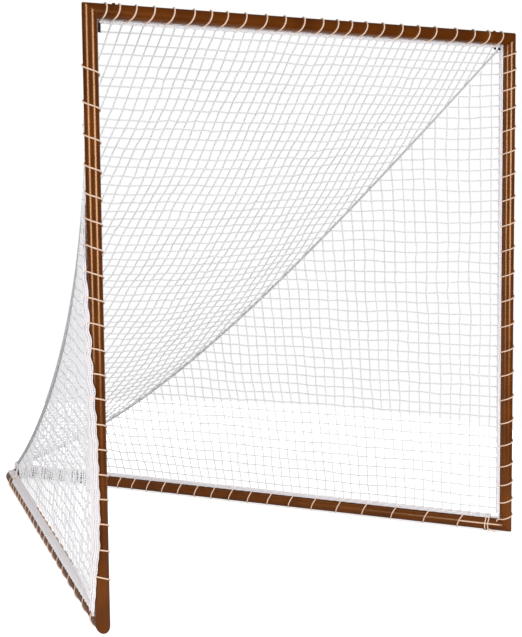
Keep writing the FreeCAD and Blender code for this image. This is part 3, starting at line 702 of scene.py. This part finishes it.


# Creases: a cord runs down each edge where the roof meets a side and holds the gathered
# meshes of both, so the seam grows from a cord at the corner to a thick bundle at the rear.
# Its twine is painted greyer, as painted shade between the gathered strands. The left seam
# holds more of the net and is thicker.
SEAM_STRANDS = 8
SEAM_STEPS = 120
SEAM_TWISTS = 9
SEAM_RADIUS = 0.0021
CORNER_SPREAD = 0.0018
shaded_seam_twine = twine_material("polyester_twine_gathered_shaded", "B4B4B8", "D2D2D5")
for side, name, grows in ((-1, "left", 0.0075), (1, "right", 0.0035)):
    strands = []
    for k in range(SEAM_STRANDS):
        line = []
        for i in range(SEAM_STEPS + 1):
            share = i / SEAM_STEPS
            spread = CORNER_SPREAD + grows * share
            turned = 2 * math.pi * (k / SEAM_STRANDS + SEAM_TWISTS * share)
            offset = Vector((math.cos(turned), 0.0, math.sin(turned))) * spread
            # The strands close up at the knot
            line.append(crease(side, share) + offset * min(1.0, 40 * (1 - share) + 0.3))
        strands.append(line)
    mesh = strands_to_mesh(f"{name}_crease_seam", strands, SEAM_RADIUS)
    link_piece(f"{name}_crease_seam", mesh, shaded_seam_twine, f"{name}_crease_cord")


# Border rope: a three-strand white rope of 8 mm in the hem of the net. It lies behind the
# outer side of the right post, drifts round the outside of the left one, and runs behind
# the crossbar and over the ground bars.
def rope_material():
    """Soft polyester rope: pinkish white, with a fine random tone in its fibres."""
    material = bpy.data.materials.new("polyester_rope_white")
    material.use_nodes = True
    tree = material.node_tree
    shader = tree.nodes["Principled BSDF"]
    place = add_node(tree, "ShaderNodeTexCoord")
    fibre = add_node(tree, "ShaderNodeTexNoise", {"Scale": 700.0, "Detail": 2.0},
                     {"Vector": place.outputs["Object"]})
    tone = add_node(tree, "ShaderNodeValToRGB", {}, {"Fac": fibre.outputs["Fac"]})
    tone.color_ramp.elements[0].color = linear("F0EAEF")
    tone.color_ramp.elements[1].color = linear("FFFBFB")
    tree.links.new(tone.outputs["Color"], shader.inputs["Base Color"])
    bump = add_node(tree, "ShaderNodeBump", {"Strength": 0.4, "Distance": 0.0005},
                    {"Height": fibre.outputs["Fac"]})
    tree.links.new(bump.outputs["Normal"], shader.inputs["Normal"])
    shader.inputs["Roughness"].default_value = 0.8
    shader.inputs["Sheen Weight"].default_value = 0.25
    return material


rope_fibre = rope_material()
ROPE_LAY = 0.030
STRAND_REACH = ROPE_RADIUS * 0.52
STRAND_RADIUS = ROPE_RADIUS * 0.54
# Turn of the near bar's rope outwards, start of both bars' ropes behind the foot, and gap
# between their ends and the knot's middle
NEAR_ROPE_TURN = math.radians(24)
ROPE_STARTS = 0.030
KNOT_GAP = 0.028


def twisted_rope(name, points, node):
    """Three strands laid round the line through points."""
    strands = [[], [], []]
    walked = 0.0
    for before, after in zip(points, points[1:]):
        heading = (after - before).normalized()
        plain = RIGHT if abs(heading.z) > 0.7 else UP
        side_a = (plain - heading * plain.dot(heading)).normalized()
        side_b = heading.cross(side_a)
        length = (after - before).length
        steps = max(1, round(length / (ROPE_LAY / 8)))
        for step in range(steps):
            base = before + heading * (length * step / steps)
            turned = 2 * math.pi * (walked + length * step / steps) / ROPE_LAY
            for k in range(3):
                angle = turned + 2 * math.pi * k / 3
                strands[k].append(base + side_a * (STRAND_REACH * math.cos(angle))
                                  + side_b * (STRAND_REACH * math.sin(angle)))
        walked += length
    mesh = strands_to_mesh(name, strands, STRAND_RADIUS)
    link_piece(name, mesh, rope_fibre, node)


def outwards(side):
    """Level direction from a ground bar to the outside of the goal."""
    return bar_direction(side).cross(UP) * side


def bar_rope_way(side):
    """Direction from the middle of a ground bar to its border rope."""
    turned = NEAR_ROPE_TURN if side < 0 else 0.0
    return UP * math.cos(turned) + outwards(side) * math.sin(turned)


twisted_rope("left_post_hem_rope", [round_post(left_rope_turn(h), h, ROPE_REACH)
                                    for h in spaced(rope_z, net_top, 90)],
             "left_post_border_rope")
twisted_rope("right_post_hem_rope", [net_corner(1, rope_z), net_corner(1, top_z)],
             "right_post_border_rope")
bar_rope = {}
for side, name in ((-1, "left"), (1, "right")):
    start, late = [foot(side) + bar_direction(side) * distance + bar_rope_way(side) * ROPE_REACH
                   for distance in (ROPE_STARTS, ROPE_LEAVES)]
    end = knot + (late - knot).normalized() * KNOT_GAP
    bar_rope[side] = (start, late, end)
    twisted_rope(f"{name}_ground_hem_rope", bar_rope[side], f"{name}_ground_border_rope")


# Hems: the last row of meshes is doubled and gathered on the rope, a hand's width of
# close twine. On the left it is drawn round the outside of the post and of the near bar.
HEM_REACH = TUBE_RADIUS + 0.0062
HEM_ENDS = 0.02
HEM_LOOSE = 0.0100
HEM_WAVE = 0.0010


def hem_net(name, lines, node, radius=0.0019):
    """Twine along each line and in a zigzag between each pair of neighbours."""
    strands = [list(line) for line in lines]
    for before, after in zip(lines, lines[1:]):
        strands.append([(before if i % 2 else after)[i] for i in range(len(before))])
    mesh = strands_to_mesh(name, strands, radius)
    link_piece(name, mesh, rope_fibre, node)


def rope_hem(name, centres, outward_at, node, size=HEM_LOOSE):
    """The net's edge meshes, drawn over a border rope and the cord that runs along it."""
    lines = [[], [], [], [], [], []]
    for i, centre in enumerate(centres):
        along = (centres[min(i + 1, len(centres) - 1)] - centres[max(i - 1, 0)]).normalized()
        outward = outward_at(centre)
        sideways = along.cross(outward)
        wide = size + HEM_WAVE * math.sin(2 * math.pi * (centre - centres[0]).length / MESH)
        for k, line in enumerate(lines):
            angle = math.radians(-95 + 38 * k)
            line.append(centre + (outward * math.cos(angle) + sideways * math.sin(angle)) * wide)
    hem_net(name, lines, node)


def between(first, last, count):
    return [first.lerp(last, i / count) for i in range(count + 1)]


def from_left_post(centre):
    return (centre - round_post(0.0, centre.z, 0.0)).normalized()


# The left post's hem reaches to the rope from the outside of the post, or from 15 degrees
# short of the rope where the rope lies further back
heights = spaced(rope_z + HEM_ENDS, net_top - HEM_ENDS / 2, 260)
hem_turns = [(min(math.radians(166), left_rope_turn(h) - math.radians(15)), left_rope_turn(h))
             for h in heights]
hem_net("left_post_hem", [[round_post(first + (last - first) * k / 6, h, HEM_REACH)
                           for h, (first, last) in zip(heights, hem_turns)] for k in range(7)],
        "left_post_border_rope")
rope_hem("left_post_rope_hem", [round_post(left_rope_turn(h), h, ROPE_REACH) for h in heights],
         from_left_post, "left_post_border_rope")
rope_hem("right_post_rope_hem",
         between(net_corner(1, rope_z + HEM_ENDS), net_corner(1, top_z - HEM_ENDS), 220),
         lambda _centre: post_rope_way, "right_post_border_rope", size=0.0088)
for side, name in ((-1, "left"), (1, "right")):
    rope_hem(f"{name}_ground_rope_hem",
             between(bar_rope[side][0] + bar_direction(side) * 0.03, bar_rope[side][1], 230),
             lambda _centre: bar_rope_way(side), f"{name}_ground_border_rope", size=0.0092)


def hem_inner(distance):
    """Turn of the inner border of the near bar's hem, from the bar's top. The hem leaves a
    narrow slit in the middle part, where the dark tube shows."""
    return math.radians(-38 + 28 * ramp(distance, 0.42, 0.50) * ramp(distance, 1.50, 1.42))


def round_bar(side, distance, turned, reach):
    """Point round a ground bar, turned from its top towards its outer side."""
    return foot(side) + bar_direction(side) * distance + (
        UP * math.cos(turned) + outwards(side) * math.sin(turned)) * reach


hem_net("left_ground_hem",
        [[round_bar(-1, d, NEAR_ROPE_TURN + (hem_inner(d) - NEAR_ROPE_TURN) * k / 6, HEM_REACH)
          for d in spaced(0.07, 2.16, 290)] for k in range(7)],
        "left_ground_border_rope")
hem_net("right_ground_hem", [[round_bar(1, d, -math.radians(22) * k, HEM_REACH)
                              for d in spaced(1.80, 2.16, 32)] for k in range(6)],
        "right_ground_border_rope", radius=0.0016)

# The crossbar's rope is straight, and its hem ends just inside of the rope's ends
low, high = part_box("crossbar_border_rope")
rope_line = top_corner(-1) + crossbar_rope_way * ROPE_REACH
first, last = [Vector((x, rope_line.y, rope_line.z)) for x in (low[0], high[0])]
twisted_rope("crossbar_hem_rope", [first, last], "crossbar_border_rope")
rope_hem("crossbar_rope_hem", between(first + RIGHT * 0.012, last - RIGHT * 0.012, 230),
         lambda _centre: crossbar_rope_way, "crossbar_border_rope")


# Lacing: a braided cream cord of 4.5 mm, wound round each tube and its border rope. It
# crosses the outside of the tube at a slant and travels along the rope to the next turn.
LACE_RADIUS = 0.00225
LACE_GAP = 0.0004
LACE_STEPS = 24
# Share of a turn that the cord rests on the rope at either end, and the most that it
# leans of the way to the next turn
LACE_REST = 0.16
MOST_LEAN = 0.8
# Height of the cord's middle where it is pressed on the floor
FLOOR_REST = LACE_RADIUS * 1.02


def lace_material():
    """Braided polyester: cream, with a fine plait, painted shade where it sinks, and a little
    fuzz.
    """
    material = bpy.data.materials.new("braided_polyester_cream")
    material.use_nodes = True
    tree = material.node_tree
    shader = tree.nodes["Principled BSDF"]
    place = add_node(tree, "ShaderNodeTexCoord")
    # The plait shows as cells of about 2 mm, with painted shade towards their sunken edges
    plait = add_node(tree, "ShaderNodeTexVoronoi", {"Scale": 520.0},
                     {"Vector": place.outputs["Object"]})
    tone = add_node(tree, "ShaderNodeValToRGB", {}, {"Fac": plait.outputs["Distance"]})
    tone.color_ramp.elements[0].color = linear("FBE2CE")
    tone.color_ramp.elements[1].color = linear("DFB595")
    tree.links.new(tone.outputs["Color"], shader.inputs["Base Color"])
    bump = add_node(tree, "ShaderNodeBump", {"Strength": 0.5, "Distance": 0.0005,
                                             "invert": True},
                    {"Height": plait.outputs["Distance"]})
    tree.links.new(bump.outputs["Normal"], shader.inputs["Normal"])
    shader.inputs["Roughness"].default_value = 0.75
    shader.inputs["Sheen Weight"].default_value = 0.15
    return material


lace = lace_material()


def belt_point(angle, offset, rope_size):
    """Where a cord pulled tight round the tube and the rope beside it lies."""
    tube_way = TUBE_RADIUS + LACE_GAP + LACE_RADIUS
    rope_way = rope_size + LACE_GAP + LACE_RADIUS
    leaves = math.acos((tube_way - rope_way) / offset.length)
    turned = (angle - math.atan2(offset.y, offset.x) + math.pi) % (2 * math.pi) - math.pi
    heading = Vector((math.cos(angle), math.sin(angle)))
    if abs(turned) > leaves:
        return heading * tube_way
    return offset + heading * rope_way


def lace_line(place, bounds, rise, hand, offset_at, rope_size=ROPE_RADIUS):
    """Points of a lacing cord in the tube's own frame, brought to their place and kept off
    the floor. Each turn runs between two of the bounds."""
    points = []
    for low, high in zip(bounds, bounds[1:]):
        pitch = high - low
        lean = min(rise, pitch * MOST_LEAN)
        for step in range(LACE_STEPS):
            share = step / LACE_STEPS
            crossing = ramp(share, LACE_REST, 1 - LACE_REST)
            resting = (ramp(share, 0.0, LACE_REST) + ramp(share, 1 - LACE_REST, 1.0)) / 2
            height = low + lean * crossing + (pitch - lean) * resting
            offset = offset_at(height)
            lead = math.atan2(offset.y, offset.x)
            flat = belt_point(lead + 2 * math.pi * share * hand, offset, rope_size)
            point = place @ Vector((flat.x, flat.y, height))
            point.z = max(point.z, FLOOR_REST)
            points.append(point)
    return points


def frame_at(origin, x_direction, z_direction):
    """Place of a tube's own frame: Z runs along the tube, and X points to its rope."""
    y_direction = z_direction.cross(x_direction)
    columns = (x_direction, y_direction, z_direction)
    rotation = Matrix([[c[i] for c in columns] for i in range(3)]).to_4x4()
    return Matrix.Translation(origin) @ rotation


def bar_frame(side):
    return frame_at(foot(side), UP, bar_direction(side))


def add_lacing(name, node, runs, material=lace):
    mesh = strands_to_mesh(name, runs, LACE_RADIUS, 2, "NURBS")
    link_piece(name, mesh, material, node)


def beside(_height):
    """Offset of a straight rope, in its tube's own frame."""
    return Vector((ROPE_REACH, 0.0))


def round_left_post(height):
    """Offset of the left post's rope, which drifts round the post."""
    turned = left_rope_drift(foot(-1).z + height) - math.atan2(post_rope_way.y,
                                                               post_rope_way.x)
    return Vector((math.cos(turned), math.sin(turned))) * ROPE_REACH


def over_bar(side):
    """Gives the function for the offset of a ground bar's rope, which runs in to the knot."""
    rope = [bar_frame(side).inverted() @ point for point in bar_rope[side]]

    def offset_at(height):
        first, second = rope[:2] if height < rope[1].z else rope[1:]
        return first.lerp(second, (height - first.z) / (second.z - first.z)).xy

    return offset_at


points = lace_line(frame_at(foot(-1), post_rope_way, UP), left_bounds, rise=0.036, hand=-1,
                   offset_at=round_left_post)
add_lacing("left_post_lace", "left_post_lacing", [points])
bounds = even_bounds(22, 0.014, post_height - 0.020, seed=12, near_first=-0.45, near_last=-0.5)
points = lace_line(frame_at(foot(1), post_rope_way, UP), bounds, rise=0.034, hand=1,
                   offset_at=beside)
add_lacing("right_post_lace", "right_post_lacing", [points])
bounds = even_bounds(24, 0.030, 2 * half_span - 0.018, seed=965, near_first=-0.4, uneven=0.3)
points = lace_line(frame_at(top_corner(-1), crossbar_rope_way, RIGHT), bounds, rise=0.046,
                   hand=-1, offset_at=beside)
add_lacing("crossbar_lace", "crossbar_lacing", [points])
bar_length = math.hypot(half_span, GOAL_DEPTH)
for side, name in ((-1, "left"), (1, "right")):
    bounds = even_bounds(21, 0.120, bar_length - 0.262, seed=21 + side, near_first=1.0)
    points = lace_line(bar_frame(side), bounds, rise=0.045, hand=-side, offset_at=over_bar(side))
    add_lacing(f"{name}_ground_lace", f"{name}_ground_lacing", [points])

# The left post's lacing starts from the bar: two turns round it and a run up the rope
wraps = lace_line(bar_frame(-1), (0.056, 0.068, 0.080), rise=0.006, hand=1, offset_at=beside)
run = [round_post(math.radians(t), z, r) for t, z, r in (
    (112, 0.060, 0.045), (128, 0.066, 0.040), (146, 0.085, 0.0365), (156, 0.110, 0.0355),
    (168, 0.140, 0.035))]
add_lacing("left_lace_start", "left_post_lacing", [wraps, run])

# The right lacing ends at the foot: a straight run on the bar's inner side, held by two
# tight turns, with a short tail that is bent back
run = [round_bar(1, d, math.radians(-80), TUBE_RADIUS + 0.0026)
       for d in spaced(0.175, 0.015, 12)]
wraps = lace_line(bar_frame(1), (0.058, 0.069, 0.081), rise=0.006, hand=-1,
                  offset_at=over_bar(1), rope_size=ROPE_RADIUS + 0.002)
tail = [round_bar(1, d, math.radians(t), r) for d, t, r in (
    (0.060, -128, 0.0265), (0.050, -122, 0.030), (0.044, -118, 0.034), (0.036, -126, 0.035),
    (0.028, -134, 0.034))]
add_lacing("right_lace_end", "right_ground_lacing", [run, wraps, tail])


# Ties and knot: the net's ropes are gathered in a knot on the rear bend and tied down
# with a few turns of the lacing cord. A dark cord ties the net in each top corner.
DARK_RADIUS = 0.0018
COIL_STEPS = 10
COIL_ERROR = 0.0006


def dark_cord_material():
    """Tarred twine: nearly black, dull."""
    material = bpy.data.materials.new("tarred_twine_black")
    material.use_nodes = True
    tree = material.node_tree
    shader = tree.nodes["Principled BSDF"]
    place = add_node(tree, "ShaderNodeTexCoord")
    fibre = add_node(tree, "ShaderNodeTexNoise", {"Scale": 500.0, "Detail": 2.0},
                     {"Vector": place.outputs["Object"]})
    tone = add_node(tree, "ShaderNodeValToRGB", {}, {"Fac": fibre.outputs["Fac"]})
    tone.color_ramp.elements[0].color = linear("15110F")
    tone.color_ramp.elements[1].color = linear("3A322E")
    tree.links.new(tone.outputs["Color"], shader.inputs["Base Color"])
    shader.inputs["Roughness"].default_value = 0.8
    return material


dark_cord = dark_cord_material()


def dark_coil(top, turns, length, wide, chance):
    """A cord's end that hangs down from a point in a few loose turns."""
    coil = []
    for i in range(turns * COIL_STEPS):
        reached = wide + chance.uniform(-COIL_ERROR, COIL_ERROR)
        turned = 2 * math.pi * i / COIL_STEPS
        coil.append(top + Vector((reached * math.cos(turned), reached * math.sin(turned),
                                  -length * i / (turns * COIL_STEPS - 1))))
    return coil


def add_dark_tie(name, coils):
    mesh = strands_to_mesh(f"top_{name}_dark_tie", coils, DARK_RADIUS, 2, "NURBS")
    link_piece(f"top_{name}_dark_tie", mesh, dark_cord, f"top_{name}_tie")


# One longer coil on the left, and two small ones on the right, a little in front of it
low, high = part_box("top_left_tie")
middle = Vector(((low[0] + high[0]) / 2, (low[1] + high[1]) / 2, high[2]))
add_dark_tie("left", [dark_coil(middle + Vector((0.006, 0.0, -0.0020)), 6, high[2] - low[2],
                                0.0044, random.Random(30))])
low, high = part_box("top_right_tie")
middle = Vector(((low[0] + high[0]) / 2, (low[1] + high[1]) / 2, high[2]))
chance = random.Random(32)
add_dark_tie("right", [dark_coil(middle + Vector((shift, -0.008, -0.0070)), 3, length, 0.0028,
                                 chance) for shift, length in ((-0.004, 0.007),
                                                               (-0.027, 0.006))])

crown = Vector((0.0, crown_y, bar_z))
ball = Vector((0.0, knot.y, bar_z + TUBE_RADIUS + KNOT_RADIUS))
points = lace_line(frame_at(crown, UP, RIGHT), even_bounds(3, -0.0105, 0.0105, seed=41),
                   rise=0.003, hand=1, offset_at=lambda _height: Vector((ball.z - bar_z, 0.0)),
                   rope_size=KNOT_RADIUS)
add_lacing("rear_bend_tie", "rear_tie", [points], rope_fibre)

KNOT_CORD = 0.0034
LOOP_STEPS = 16
chance = random.Random(8)
strands = []
for loop in range(7):
    axis = Vector([chance.uniform(-1, 1) for _ in range(3)]).normalized()
    first = axis.orthogonal().normalized()
    second = axis.cross(first)
    size = KNOT_RADIUS - 0.0038 - 0.001 * (loop % 3)
    # Each loop runs on past its own start
    strands.append([ball + axis * chance.uniform(-0.003, 0.003)
                    + (first * math.cos(a) + second * math.sin(a)) * size
                    for a in (2 * math.pi * i / LOOP_STEPS for i in range(LOOP_STEPS + 3))])
mesh = strands_to_mesh("gathered_knot", strands, KNOT_CORD, 3, "NURBS")
link_piece("gathered_knot", mesh, rope_fibre, "rear_knot")
